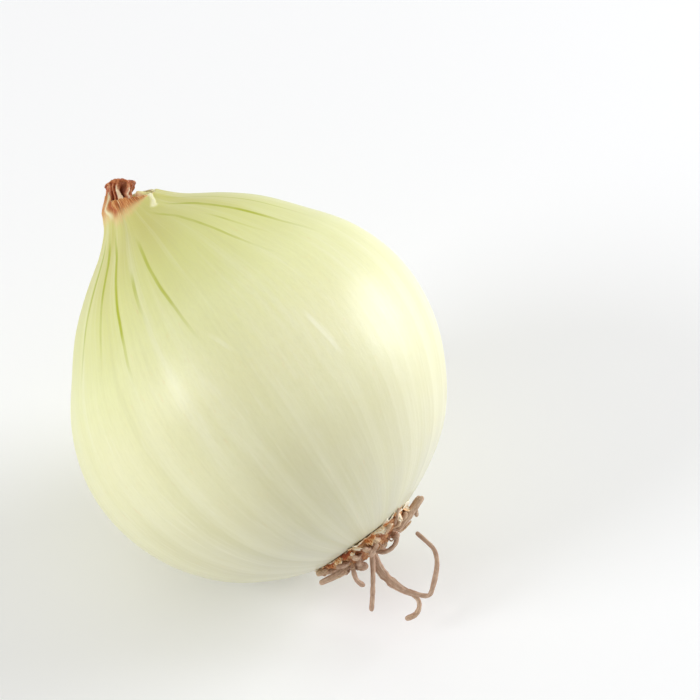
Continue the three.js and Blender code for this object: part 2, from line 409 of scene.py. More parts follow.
def makeLights():
    for name, light in studio["lights"].items():
        data = bpy.data.lights.new(name, "AREA")
        data.shape = "DISK"
        data.size = light["size"]
        data.energy = light["power"]
        data.color = studio["lightColour"]
        lamp = bpy.data.objects.new(name, data)
        bpy.context.scene.collection.objects.link(lamp)
        away = fromView(light["right"], light["up"], light["near"])
        lamp.location = girthMiddle + away
        lamp.rotation_euler = away.to_track_quat("Z", "Y").to_euler()
    world = bpy.data.worlds.new("studio")
    bpy.context.scene.world = world
    world.use_nodes = True
    sky = world.node_tree.nodes["Background"]
    sky.inputs["Color"].default_value = studio["skyColour"]
    sky.inputs["Strength"].default_value = studio["skyPower"]
    bpy.context.scene.view_settings.view_transform = "Standard"


def makeFloor():
    deselectAll()
    bpy.ops.mesh.primitive_plane_add(size=studio["floorSize"], location=(0, 0, 0))
    floor = bpy.context.object
    floor.name = "floor"
    paint = Wiring("pale_floor")
    cloud = paint.grain(paint.objectPoint(), 3, 2)
    colour = paint.mix(cloud, *studio["floorColours"])
    paint.link(colour, paint.shader.inputs["Base Color"])
    paint.constants(Roughness=0.7)
    floor.data.materials.append(paint.material)


# Bulb
bulb = {
    "segments": 72,
    "steps": 44,
    "wall": 0.75,
    "rootHollow": [(10.3, -38.75), (10.05, -38), (9.9, -37.1), (5, -37)],  # radius, height
    "neckInside": [(5.1, 47.6), (4.5, 46.5), (3.7, 45), (2, 44.4)],
    "neckFloor": 44,
    "swell": (0.2, 0.16),  # mm, broad swells three and five times round
    "furrow": (0.15, 0.1),  # mm, at the neck
    "tongueRise": 2.4,
    "wear": {"depth": 0.45, "around": -1.1, "spread": 0.35},  # a side where the rim is lower
    "drySide": -2.62,  # radians round, where the rim has withered most
    "creaseDepth": 0.35,
    "cutEndStands": 0.5,
    "skinColoursAndShade": [  # from the roots to the neck, greyer and darker at the roots as painted shade
        (0, (214, 212, 188)), (0.06, (218, 215, 182)), (0.15, (222, 219, 179)),
        (0.28, (230, 228, 185)), (0.5, (233, 231, 182)), (0.74, (231, 232, 172)),
        (0.9, (219, 220, 144)), (1, (208, 204, 118)),
    ],
    "veinColour": (176, 184, 0),
    "veins": [  # degrees round from +X, drift, from and down to this height, width, strength
        (-142, -9, 44, 20, 0.75, 1.2), (-129.5, -4, 44, 20, 0.58, 1),
        (-118.8, -0.5, 43.5, 13, 0.6, 1), (-107.6, 0, 34, 22, 0.6, 1),
        (-98.2, 3.8, 39.5, 12, 0.52, 0.75), (-64, 10, 43, 17.5, 0.48, 0.6),
        (-55, 11, 35, 22, 0.45, 0.65), (-43.5, 9.6, 43, 17, 0.66, 1),
        (-28, 6, 44, 19, 0.45, 0.6), (-8, 3, 43, 18, 0.55, 0.6), (9, 2, 38, 22, 0.5, 0.5),
        (31, -3, 44, 12, 0.6, 0.8), (47, 2, 37, 26, 0.5, 0.5), (66, -4, 43, 17, 0.55, 0.7),
        (84, 3, 39, 22, 0.45, 0.5), (103, 2, 44, 12, 0.62, 0.9), (121, -3, 36, 24, 0.45, 0.5),
        (139, 4, 43, 16, 0.55, 0.7), (158, -2, 38, 22, 0.5, 0.5), (177, 5, 42, 18, 0.5, 0.6),
    ],
    "facetHighlights": [(19, 0.16), (31, 0.1)],  # how many round, how strong the painted highlight at their edges
    "scratchHighlights": [  # short pale lines of painted highlight along scratches, the same six values
        (-69.4, 3.7, 8, -6, 0.8, 0.34), (-68, 3.4, 5, -4, 0.6, 0.2),
        (-105.3, 11.9, 16, 7, 0.8, 0.2), (150, 4, 9, -3, 0.7, 0.3),
    ],
}


def skinRelief(around, height):
    wideSwell, narrowSwell = bulb["swell"]
    wideFurrow, narrowFurrow = bulb["furrow"]
    swell = wideSwell * math.cos(3 * around + 0.6) + narrowSwell * math.cos(5 * around + 2.1)
    furrow = wideFurrow * math.cos(13 * around + 0.8) + narrowFurrow * math.cos(19 * around)
    nearNeck = smoothStep(height, 20, 42)
    nearRoots = 1 - smoothStep(height, -38, -26)
    ribs = noiseRound(around, 9, height / 30)
    return (
        swell * (1 - nearRoots) * (1 - nearNeck)
        + furrow * (nearNeck + 0.6 * nearRoots)
        + 0.1 * (ribs - 0.3) * (0.4 + nearNeck)
    )


def fleshMaterial():
    flesh = Wiring("moist_scale_leaf")
    skin = flesh.attribute("skin", "Vector")
    x, y, height = flesh.split(skin)  # the cosine and sine round, and the height in cm
    dry = flesh.attribute("dry")

    # pale cream, greener towards the neck, and greyer and darker towards the roots, which is painted
    # shade
    patches = flesh.grain(flesh.stretch(skin, (1.6, 1.6, 0.3)), 1.3, 2)
    alongShare = flesh.roughen(flesh.span(height, -4.2, 5.1), patches, 0.16)
    skinColoursAndShade = [(place, srgb(*colour)) for place, colour in bulb["skinColoursAndShade"]]
    colour = flesh.ramp(alongShare, skinColoursAndShade)

    # long faint stripes, broad ones and hair fine ones
    broad = flesh.streaks(skin, (8, 8, 0.2), 3)
    fine = flesh.streaks(skin, (38, 38, 0.45), 2)
    stripes = flesh.weigh(broad, 0.65, fine, 0.35)
    colour = flesh.mix(flesh.span(stripes, 0.48, 0.7, 0, 0.22), colour, srgb(204, 202, 146))
    colour = flesh.mix(flesh.span(stripes, 0.5, 0.3, 0, 0.22), colour, srgb(247, 246, 222))
    threads = flesh.streaks(skin, (75, 75, 6), 3, 0.6)
    colour = flesh.mix(flesh.span(threads, 0.4, 0.7, 0, 0.12), colour, srgb(206, 203, 152))

    # broad facets along the meridians, each with a painted highlight at one edge, and fine pale
    # scratches
    around = flesh.calc("ARCTAN2", y, x)
    uneven = flesh.streaks(skin, (2.5, 2.5, 0.1), 1)
    belowNeck = flesh.span(height, 2.5, -1)
    for count, strength in bulb["facetHighlights"]:
        across = flesh.calc("MULTIPLY_ADD", around, count / fullTurn, uneven)
        across = flesh.calc("FRACT", flesh.plus(across, 100))  # 100 keeps it above zero
        edge = flesh.larger(flesh.span(across, 0.6, 0), flesh.span(across, 0.93, 1))
        edge = flesh.times(edge, flesh.times(belowNeck, strength))
        # painted highlight at one edge of each facet
        colour = flesh.mix(edge, colour, srgb(247, 246, 219))
    scratches = flesh.span(flesh.streaks(skin, (42, 42, 1.1), 2), 0.55, 0.72, 0, 0.12)
    atGirth = flesh.times(flesh.span(height, -3.7, -2.2), flesh.span(height, 2.8, 0.6))
    colour = flesh.mix(flesh.times(scratches, atGirth), colour, srgb(250, 248, 226))

    # green veins run down from the neck, each along its own meridian, with a twist at the top
    twisted = flesh.plus(around, flesh.span(height, 3.9, 4.6, 0, 0.16))
    radius = flesh.attribute("radius")
    wander = flesh.minus(flesh.streaks(skin, (3, 3, 1.4), 1), 0.5)

    def drawLines(lines, fade, above, below):  # how they fade at the foot and at the start
        drawn = 0.0
        for place, drift, start, foot, width, strength in lines:
            slope = math.radians(drift) / -2
            middle = flesh.calc("MULTIPLY_ADD", flesh.minus(height, 4), slope, math.radians(place))
            off = flesh.calc("MULTIPLY_ADD", wander, 0.016, flesh.minus(twisted, middle))
            off = flesh.calc("WRAP", off, math.pi, -math.pi)
            away = flesh.times(flesh.calc("ABSOLUTE", off), radius)
            line = flesh.span(away, width * 0.95, width * 0.3)
            start, foot = start / 10, foot / 10
            reach = flesh.span(height, foot, foot + fade, 0, strength)
            reach = flesh.times(reach, flesh.span(height, start + above, start - below))
            drawn = flesh.larger(drawn, flesh.times(line, reach))
        return drawn

    veins = drawLines(bulb["veins"], 1.6, 0.2, 0.3)
    # short pale scratch lines, painted as highlights
    scratchHighlights = drawLines(bulb["scratchHighlights"], 0.4, 0, 0.4)
    blotch = flesh.span(flesh.streaks(skin, (14, 14, 1.6), 2), 0.25, 0.6, 0.55, 1)
    veins = flesh.times(flesh.times(veins, blotch), 0.96)
    colour = flesh.mix(veins, colour, srgb(*bulb["veinColour"]))
    # painted highlight along the scratch lines
    colour = flesh.mix(flesh.times(scratchHighlights, blotch), colour, srgb(255, 254, 236))

    # the rim is dried brown, in fibres that run out into the green
    fibres = flesh.streaks(skin, (30, 30, 3), 4, 0.65)
    edge = flesh.roughen(dry, fibres, 0.9)
    withered = flesh.ramp(fibres, [
        (0.34, srgb(146, 72, 28)), (0.47, srgb(190, 114, 56)), (0.56, srgb(218, 156, 90)),
        (0.65, srgb(248, 218, 166)),
    ])
    colour = flesh.mix(flesh.span(edge, 0.08, 0.5, 0, 0.7), colour, srgb(230, 196, 136))
    colour = flesh.mix(flesh.span(edge, 0.34, 0.85), colour, withered)
    # cream at the cut end, and inside the neck, where pale tissue is painted paler still as painted
    # light
    colour = flesh.mix(flesh.attribute("cream"), colour, srgb(245, 240, 194))
    # painted shade: the fold beside the tongue is darker brown
    colour = flesh.mix(flesh.attribute("crease"), colour, srgb(182, 92, 42))
    flesh.link(colour, flesh.shader.inputs["Base Color"])

    dull = flesh.plus(flesh.span(stripes, 0.3, 0.7, 0.4, 0.5), flesh.times(dry, 0.3))
    flesh.link(dull, flesh.shader.inputs["Roughness"])
    pores = flesh.grain(flesh.objectPoint(), 1500, 3, 0.6)
    relief = flesh.weigh(stripes, 0.7, pores, 0.25)
    relief = flesh.plus(relief, flesh.times(fibres, flesh.times(dry, 2.5)))
    flesh.bump(relief, 0.32, 0.0004)
    flesh.constants(
        Subsurface_Weight=0.2, Subsurface_Radius=(1.0, 0.9, 0.45), Subsurface_Scale=0.003,
        IOR=1.42, Coat_Weight=0.28, Coat_Roughness=0.32,
    )
    return flesh.material


def witheringAt(around):  # 1 on the side where the rim has dried, 0 opposite
    return (1 + math.cos(around - bulb["drySide"])) / 2


def tornRimAt(around):  # height of the rim, with its tongue and its worn side
    wear = bulb["wear"]
    worn = wear["depth"] * math.exp((math.cos(around - wear["around"]) - 1) / wear["spread"])
    return rimAt(around) + bulb["tongueRise"] * tongueAt(around) - worn


def tattersAt(around, height, rim):  # teeth of the dry side of the rim
    torn = smoothStep(height, rim - 2.2, rim) * smoothStep(witheringAt(around), 0.3, 0.6)
    torn *= 1 - 0.5 * tongueAt(around)
    return torn * (0.4 * noiseRound(around, 7, 3.3) + 0.25 * noiseRound(around, 26, 8.1))


def stretchNeck(around, out, height, rim):  # the plain outline's neck, drawn up to the torn rim
    top = shape["outline"][-1][1]
    share = (height - shape["neckStart"]) / (top - shape["neckStart"])
    drawn = shape["neckStart"] + share * (rim - shape["neckStart"])
    out += radiusAt(min(drawn, top)) - radiusAt(height)
    out *= 1 - 0.5 * smoothStep(drawn, 50, 53.2)  # the tongue lies against the stub
    out += 0.3 * tongueAt(around) * smoothStep(drawn, 46, 48.6)
    return out, drawn


def makeBulb():
    wall = bulb["wall"]
    lip, top = shape["outline"][-1]
    steps = [pointOnLine(shape["outline"], i / bulb["steps"]) for i in range(bulb["steps"] + 1)]
    foot = steps[0]
    piece = startRing("onionBulb", bulb["segments"], *foot)
    crest = [
        (lip - 0.25 * wall, top + 0.22), (lip - 0.75 * wall, top + 0.15), (lip - wall, top - 0.35),
    ]
    growRings(foot, steps[1:] + crest + bulb["neckInside"])
    bpy.ops.mesh.edge_face_add()
    selectRing(piece, foot[1])
    growRings(foot, bulb["rootHollow"])
    bpy.ops.mesh.edge_face_add()
    closeUp(piece, 2)

    skin, dryness, radii, creams, paintedCreaseShade = [], [], [], [], []
    for vertex in piece.data.vertices:
        x, y, height = vertex.co
        around, out = polar(x, y)
        rim, withered = tornRimAt(around), witheringAt(around)
        inside = height > bulb["neckFloor"] and out < radiusAt(height) - 0.3
        if height > shape["neckStart"]:
            out, height = stretchNeck(around, out, height, rim)
        skinShare = smoothStep(out, 4, 5) if height < bulb["neckFloor"] else 1
        out += skinRelief(around, height) * skinShare
        height += tattersAt(around, height, rim)
        end = 0 if inside else cutEndAt(around, out, height)
        crease = 0 if inside else creaseAt(around, height)
        out += bulb["cutEndStands"] * end - bulb["creaseDepth"] * crease
        vertex.co = (asideAt(height) + out * math.cos(around), out * math.sin(around), height)

        depth = 0.35 + (5 + 0.6 * tongueAt(around)) * smoothStep(withered, 0.33, 0.95)
        dried = 1.15 - (rim - height) / depth
        if inside:
            dried = 1.2 * smoothStep(withered, 0.1, 0.5)
        worth = 1 if inside else smoothStep(withered, 0.22, 0.4) * (1 - end)
        dryness.append(max(0, dried) * worth)
        skin.append((math.cos(around), math.sin(around), height / 10))
        radii.append(out)
        besideFold = bell(math.degrees(around) - tongueEdgeAt(height) + 3, 3.8)
        pale = 0.8 * besideFold * smoothStep(height, 47, 48.6)
        # the cut end is cream; inside the neck the pale tissue is painted paler still, as painted
        # light in the shaded pit
        creams.append(min(1, 1.2 * end + (0.95 * (1 - withered) if inside else pale)))
        # painted shade for the fold beside the tongue
        paintedCreaseShade.append(0.8 * crease)
    keepAttribute(piece, "skin", skin, "FLOAT_VECTOR")
    keepAttribute(piece, "dry", dryness)
    keepAttribute(piece, "radius", radii)
    keepAttribute(piece, "cream", creams)
    keepAttribute(piece, "crease", paintedCreaseShade)
    layDown(piece)
    dressAs(piece, "bulb", fleshMaterial())
    print("bulb made")


# Neck stub
stub = {
    "segments": 56,
    "line": [(0.25, 44.65), (0.25, 48.4), (1.1, 50.9), (2.6, 52.65), (3.3, 53.5)],  # aside, height
    "rings": [  # share of the way up, radius
        (0.0, 2.9), (0.15, 2.9), (0.3, 2.9), (0.4, 2.85), (0.46, 2.8), (0.51, 2.8),
        (0.56, 2.85), (0.61, 2.95), (0.66, 3.05), (0.71, 3.15), (0.76, 3.25), (0.81, 3.35),
        (0.86, 3.4), (0.91, 3.4), (0.96, 3.25), (0.99, 2.9), (0.985, 2.4), (0.93, 1.9),
        (0.87, 1.3), (0.84, 0.6),
    ],
    "levels": {  # counted in rings, where each thing comes in or goes
        "pleats": (1.5, 3.5), "pleatsEnd": (11, 13.5), "crumple": (3, 6), "crest": (8, 13),
        "slope": (5, 10), "darkTop": (9.4, 12.2), "pit": (15.3, 16.8),
    },
    "foldFoot": 0.48,  # share of the way up at which the folds leave the lip
    "foldHeight": 0.3,  # and the share that they take to reach the top
    "topSlope": 0.38,
    # Folds of the withered leaves, each at the level of the lip, half way up and under the top:
    # degrees round from +X, how far it stands out in mm, how pale it is
    "folds": [
        ((-178, -178, -178), (0.1, 0.15, 0.1), (0.3, 0.1, 0)),
        ((-160, -163, -160), (-0.2, -0.25, -0.1), (0, 0, 0)),
        ((-147, -152, -148), (0.2, 0.2, 0.15), (0.45, 0.35, 0.25)),
        ((-137, -143, -138), (-0.15, -0.2, -0.1), (0.1, 0.1, 0.1)),
        ((-127, -134, -129), (0.3, 0.3, 0.2), (0.6, 0.55, 0.5)),
        ((-118, -125, -120), (-0.5, -0.55, -0.4), (0, 0, 0)),
        ((-110, -116, -112), (0.25, 0.25, 0.15), (0.3, 0.35, 0.3)),
        ((-102, -105, -103), (-0.3, -0.4, -0.4), (0, 0, 0)),
        ((-95, -98, -98), (0.05, 0.1, 0), (1, 1, 0.4)),
        ((-69, -89, -94), (-0.3, -0.3, -0.4), (1, 0.8, 0)),
        ((-60, -74, -78), (-0.95, -1.1, -0.5), (0, 0, 0)),
        ((-50, -58, -63), (-0.4, -0.6, -0.5), (0.1, 0, 0)),
        ((-41, -50, -55), (0.3, 0.3, 0.2), (1, 0.9, 0.4)),
        ((-28, -42, -46), (-0.15, -0.25, -0.15), (0.3, 0, 0)),
        ((-15, -32, -35), (0, -0.1, -0.15), (0.2, 0.35, 0.2)),
        ((2, -14, -14), (-0.3, -0.6, -0.45), (0, 0, 0)),
        ((24, 12, 12), (0, -0.25, -0.3), (0.2, 0.3, 0.1)),
        ((46, 40, 38), (-0.35, -0.4, -0.2), (0, 0, 0)),
        ((70, 66, 66), (0.3, 0.35, 0.2), (0.5, 0.4, 0.1)),
        ((97, 95, 93), (-0.4, -0.5, -0.3), (0, 0, 0)),
        ((122, 124, 120), (0.3, 0.35, 0.2), (0.3, 0.5, 0.2)),
        ((148, 150, 150), (-0.35, -0.4, -0.2), (0, 0, 0)),
    ],
    "leaves": [  # degrees from and to; height, radius, across at foot and top; pale, fresh, dip
        ((-150, -62), (46.9, 49.5), (4.2, 3.9), (1.2, 1.4), 0.1, 0, 0),
        ((-80, 60), (46.2, 49.3), (4.5, 4.6), (1.8, 2.6), 0.35, 1, 1.7),
        ((40, 110), (46.9, 49), (4.1, 3.7), (1.2, 1.5), 0.2, 0.8, 0),
        ((95, 190), (46.9, 51), (4.1, 3.4), (1.2, 1.4), 0.15, 0, 0),
    ],
}


def foldAt(around, share):  # stand and paleness, smooth from fold to fold all the way round
    level = clamp((share - stub["foldFoot"]) / stub["foldHeight"]) * 2

    def here(values):  # the value between the three levels
        low, middle, top = values
        return low + (middle - low) * level if level < 1 else middle + (top - middle) * (level - 1)

    folds = [(here(fold[0]), here(fold[1]), here(fold[2])) for fold in stub["folds"]]
    degrees = math.degrees(around)
    if degrees < folds[0][0]:
        degrees += 360
    i = bisect.bisect([fold[0] for fold in folds], degrees) - 1
    low, high = folds[i], folds[(i + 1) % len(folds)]
    between = smoothStep((degrees - low[0]) / ((high[0] - low[0]) % 360), 0, 1)
    return low[1] + (high[1] - low[1]) * between, low[2] + (high[2] - low[2]) * between


def witheredMaterial():
    dry = Wiring("withered_leaf_base")
    # the fold vector holds painted shade, paleness and green
    deep, pale, green = dry.split(dry.attribute("fold", "Vector"))
    strand = dry.attribute("strand", "Vector")
    mottle = dry.grain(dry.objectPoint(), 700, 4, 0.6)
    fibre = dry.streaks(strand, (7, 7, 0.9), 4, 0.65)
    blend = dry.weigh(mottle, 0.4, fibre, 0.6)
    colour = dry.ramp(blend, [
        (0.34, srgb(126, 54, 24)), (0.46, srgb(172, 90, 48)), (0.56, srgb(204, 130, 80)),
        (0.68, srgb(230, 176, 124)),
    ])
    pale = dry.roughen(pale, blend, 0.9)
    colour = dry.mix(dry.span(pale, 0.15, 0.5, 0, 0.55), colour, srgb(226, 168, 132))
    colour = dry.mix(dry.span(pale, 0.45, 0.85), colour, srgb(255, 230, 192))
    colour = dry.mix(dry.span(green, 0.15, 1), colour, srgb(224, 220, 150))
    # painted shade: dark brown in folds that sink in, in the pit at the top and at the foot of the
    # withered leaves
    colour = dry.mix(dry.span(deep, 0.05, 0.75, 0, 0.9), colour, srgb(116, 47, 16))
    dry.link(colour, dry.shader.inputs["Base Color"])
    dry.link(dry.span(mottle, 0.3, 0.7, 0.42, 0.7), dry.shader.inputs["Roughness"])
    dry.bump(dry.plus(fibre, dry.times(mottle, 0.5)), 0.7, 0.0004)
    dry.constants(Subsurface_Weight=0.1, Subsurface_Radius=(1.0, 0.5, 0.3), Subsurface_Scale=0.001)
    return dry.material


def makeStubBody():
    rings, levels = stub["rings"], stub["levels"]
    foot = (rings[0][1], 0)
    piece = startRing("neckStub", stub["segments"], *foot)
    bpy.ops.mesh.edge_face_add()  # foot, in the dark of the neck
    selectRing(piece, 0)
    growRings(foot, [(radius, step + 1) for step, (_, radius) in enumerate(rings[1:])])
    bpy.ops.mesh.edge_face_add()
    closeUp(piece, 2)

    fold, strand = [], []
    last = len(rings) - 1
    for vertex in piece.data.vertices:
        x, y, level = vertex.co  # level counts the rings
        around, out = polar(x, y)
        share = clamp(pointOnLine(rings, clamp(level / last))[0])
        aside, height = pointOnLine(stub["line"], share)
        ahead = pointOnLine(stub["line"], min(1, share + 0.02))
        behind = pointOnLine(stub["line"], max(0, share - 0.02))
        lean = math.atan2(ahead[0] - behind[0], ahead[1] - behind[1])
        wander = around + 0.07 * math.sin(level * 0.8 + 3 * around)
        stand, pale = foldAt(math.atan2(math.sin(wander), math.cos(wander)), share)
        pleated = smoothStep(level, *levels["pleats"])
        pleated *= 1 - 0.75 * smoothStep(level, *levels["pleatsEnd"])
        stand *= pleated
        place = Vector((out * math.cos(around), out * math.sin(around), level * 0.5))
        crumple, pucker = noise.noise(place * 0.9), noise.noise(place * 2.2)
        relief = stand + 0.22 * crumple * smoothStep(level, *levels["crumple"]) + 0.12 * pucker
        out += relief * smoothStep(out, 0.3, 1.5)

        side = math.cos(around)
        crest = 0.4 - (0.2 if side > 0 else 0.7) * side * side
        crest -= 0.85 * max(0, -2 * side - 1) ** 1.2
        rise = (crest + 0.25 * crumple + 0.1 * pucker) * smoothStep(level, *levels["crest"])
        near = max(0, out * math.sin(around))
        rise -= stub["topSlope"] * smoothStep(level, *levels["slope"]) * near
        x, y = out * math.cos(around), out * math.sin(around)
        vertex.co = (
            aside + x * math.cos(lean) + rise * math.sin(lean),
            y,
            height - x * math.sin(lean) + rise * math.cos(lean),
        )
        hollow = smoothStep(level, *levels["pit"])
        paleness = pale * (1 - smoothStep(level, *levels["darkTop"]))
        # painted shade, darker where a fold sinks in and in the pit at the top
        deep = max(0, -stand - 0.1) * 1.25 * (1 - paleness) + 0.85 * hollow
        fold.append((deep, paleness, 0))
        strand.append((math.cos(around) + 0.1 * crumple, math.sin(around), level * 0.6))
    keepAttribute(piece, "fold", fold, "FLOAT_VECTOR")
    keepAttribute(piece, "strand", strand, "FLOAT_VECTOR")
    return piece


def partWay(pair, share):  # from the first to the second
    return pair[0] + (pair[1] - pair[0]) * share


def makeNeckLeaf(turns, heights, reaches, middles, pale, fresh, dip):  # a torn leaf round the stub
    deselectAll()
    bpy.ops.mesh.primitive_grid_add(x_subdivisions=40, y_subdivisions=14, size=1)
    piece = bpy.context.object
    fold, strand = [], []
    for vertex in piece.data.vertices:
        side, rise = vertex.co.x * 2, vertex.co.y + 0.5  # -1 to 1 across, 0 to 1 up
        narrow = 1 - 0.25 * rise ** 2
        around = math.radians((turns[0] + turns[1]) / 2 + (turns[1] - turns[0]) / 2 * side * narrow)
        tatter = noise.noise(Vector((around * 3.1, turns[0], 1)))
        tatter += 0.5 * noise.noise(Vector((around * 9, turns[0], 5)))
        uneven = 1 + 0.2 * tatter * (1 - 0.8 * fresh)
        height = heights[0] + (heights[1] - heights[0]) * rise * uneven
        height -= dip * rise * smoothStep(math.cos(around), 0.5, 1.05)
        out = partWay(reaches, rise)
        out += 0.16 * math.cos(7 * around + turns[0]) * rise
        out += 0.12 * noise.noise(Vector((around * 4, height, 2)))
        middle = partWay(middles, rise)
        vertex.co = (middle + out * math.cos(around), out * math.sin(around), height)
        green = fresh * smoothStep(0.8 * side + rise, -0.4, 0.7)
        # the foot of a withered leaf is painted darker, as painted shade
        fold.append((0.3 * (1 - rise) * (1 - fresh), pale, green))
        strand.append((math.cos(around), math.sin(around), height * 0.6))
    keepAttribute(piece, "fold", fold, "FLOAT_VECTOR")
    keepAttribute(piece, "strand", strand, "FLOAT_VECTOR")
    thick = piece.modifiers.new("thick", "SOLIDIFY")
    thick.thickness = 0.25
    bpy.ops.object.modifier_apply(modifier="thick")
    bpy.ops.object.shade_smooth()
    return piece


def makeNeckStub():
    pieces = [makeStubBody()] + [makeNeckLeaf(*leaf) for leaf in stub["leaves"]]
    deselectAll()
    for piece in pieces:
        piece.select_set(True)
    bpy.context.view_layer.objects.active = pieces[0]
    bpy.ops.object.join()
    layDown(pieces[0])
    dressAs(pieces[0], "neck_stub", witheredMaterial())
    print("neck stub made")


# Root plate and roots
toViewer, alongAxis = Vector((0, 1, 0)), Vector((0, 0, 1))  # where a root's flat side faces
roots = {
    "radius": 0.55,
    "sides": 10,
    "rings": 22,
    "plateSides": 40,
    "plate": [  # radius, how far beyond the face
        (4.85, -1.65), (9.7, -1.6), (9.75, 0.1), (11.3, 0.15), (11.3, 0.9), (9.9, 1.7),
        (8.6, 2.4), (7, 3.1), (5.2, 3.7), (3.2, 4.1), (1.2, 4.3),
    ],
    "edgeCount": 19,
    "faceCount": 13,
    "hairs": 46,
    "flakeRadius": 11.5,
    "flakes": {"count": 52, "length": (2.4, 1.3), "start": (10.2, 0.5)},  # mean and variation
    "skirt": {"count": 34, "length": (1.6, 0.7), "start": (11.2, 0)},
    "long": [  # width, flatness, swelling at the tip, and its way: across, out, aside
        (1.2, 1, 0, [(0.5, 1.5, -1), (-1.6, 5.2, -1.5), (-5.3, 10.3, -2), (-8.1, 13.7, -2.2)]),
        (1.2, 1.9, 0, [
            (0.4, 1.5, 0), (-1.4, 6.6, 0.4), (-1.4, 10.4, 0.2), (-0.5, 13.8, -0.2),
            (0.8, 16.3, -0.4),
        ]),
        (1.15, 1, 0, [
            (0.1, 14.8, -0.3), (2, 17.4, -0.5), (3.6, 18.6, -0.9), (5.3, 17.6, -1.45),
            (8.8, 14.4, -2), (10.3, 11.6, -1.8), (10.1, 9.1, -1.2), (9.5, 6.3, -0.6),
        ]),
        (1.15, 1, 0.25, [
            (0.2, 14.8, -0.3), (1.1, 17.6, 0.1), (0.5, 19.4, 0.5), (-1.2, 20.4, 0.9),
            (-3.3, 20, 1.3),
        ]),
        (1.15, 1, 0.1, [(-4, 1, -3), (-6, 4.2, -4.2), (-6.8, 6.4, -4.6), (-6.3, 8.3, -4)]),
        (1.7, 1, 0.3, [(-3, 1.5, -2.4), (-5, 4, -3.4), (-3.6, 5.2, -4)]),
        (1.25, 1.3, 0.3, [(-3, 1.9, -2.4), (-6.8, 2, -3.6), (-9.4, 1.3, -4.2), (-12.6, 0.5, -4.4)]),
        (1.25, 1.5, 0, [(-3.4, 1.9, -2), (-6.8, 2.8, -3.6), (-9.8, 3.1, -4.2), (-13.4, 2.5, -3.6)]),
        (0.6, 1, 0, [(7, 1.6, -8.2), (8.4, 0.4, -9.4), (9.6, -0.7, -9.7)]),
        (1.05, 1, 0, [
            (-0.8, 3, -3), (1.4, 5.2, -3.6), (3.8, 5.4, -3.8), (5.7, 4.2, -3.4),
            (6.4, 1.9, -2.8),
        ]),
        (1.3, 1.5, 0, [(3, 2, -1), (6.7, 2.9, -2.6), (10.6, 2, -3), (15, 0.75, -2.4)]),
        (1.15, 1, 0.2, [(4, 1.6, 1), (8.6, 2, 0.6), (12, 1.3, 0.4), (14.3, 0.5, 0.6)]),
        (0.95, 1, 0.1, [(12.8, 1.2, -2.4), (12.3, 2.1, -2.6), (11.6, 3.3, -2.4)]),
        (0.95, 1, 0, [(2, 1, 5), (3.4, 3.2, 9), (2, 4.2, 12), (3.6, 3.4, 15.4)]),
        (0.95, 1, 0, [(-3, 1, 5), (-5, 2.8, 9.4), (-4.2, 3.6, 12), (-6.6, 3, 14)]),
        (0.95, 1, 0, [(-1, 1, -5), (0.4, 3, -9.4), (-0.8, 3.6, -12.4), (1.6, 2.6, -14.6)]),
    ],
}


def draw(seed):  # the same number from -1 to 1 each time for a seed
    wave = math.sin(seed * 127.1 + 11.7) * 43758.5453
    return 2 * (wave - math.floor(wave)) - 1


def makeStraightRoot():  # one root, straight and round tipped, that the others are copied from
    foot, count = (0.9, 0), roots["rings"]
    piece = startRing("straightRoot", roots["sides"], *foot)
    rings = [(1 - 0.04 * math.sin(ring * 2.3), ring / count) for ring in range(1, count + 1)]
    tip = [(math.cos(turn), 1 + math.sin(turn)) for turn in (0.45, 0.85, 1.2, 1.45)]
    growRings(foot, rings + tip)
    bpy.ops.mesh.edge_face_add()
    selectRing(piece, 0)
    bpy.ops.mesh.edge_face_add()
    closeUp(piece)
    return piece


def growRoot(pattern, way, radius, flatness, facing, tone, swell=0):
    deselectAll()
    pattern.select_set(True)
    bpy.context.view_layer.objects.active = pattern
    bpy.ops.object.duplicate()
    piece = bpy.context.object
    points = [Vector((across, aside, -rootFace - out)) for across, out, aside in way]
    length = sum((b - a).length for a, b in zip(points, points[1:]))
    whole = 1 - 0.7 * radius / length  # the rest is the round tip
    strand = []
    for vertex in piece.data.vertices:
        x, y, level = vertex.co
        share = min(level, 1) * whole
        ahead = Vector(pointOnLine(points, min(1, share + 0.01)))
        behind = Vector(pointOnLine(points, max(0, share - 0.01)))
        tangent = (ahead - behind).normalized()
        front = (facing - tangent * facing.dot(tangent)).normalized()
        side = tangent.cross(front)
        knobs = 1 + 0.22 * noise.noise(Vector((share * 9, tone * 50, 0)))
        bend = 0.35 * radius * noise.noise(Vector((share * 7, tone * 90, 4)))
        deep = radius * (1 - 0.14 * share) * knobs * (1 + swell * smoothStep(share, 0.6, 0.82))
        flattened = math.sin(math.pi * min(1, share * 0.9 + 0.08))
        wide = deep * (1 + (flatness - 1) * flattened)
        crease = 1 - 0.16 * abs(math.sin(1.5 * math.atan2(y, x) + tone * 9 + share * 3))
        middle = Vector(pointOnLine(points, share)) + tangent * deep * max(0, level - 1)
        vertex.co = middle + front * (x * deep * crease + bend) + side * (y * wide * crease)
        strand.append((share, tone, math.atan2(y, x)))
    keepAttribute(piece, "strand", strand, "FLOAT_VECTOR")
    return piece


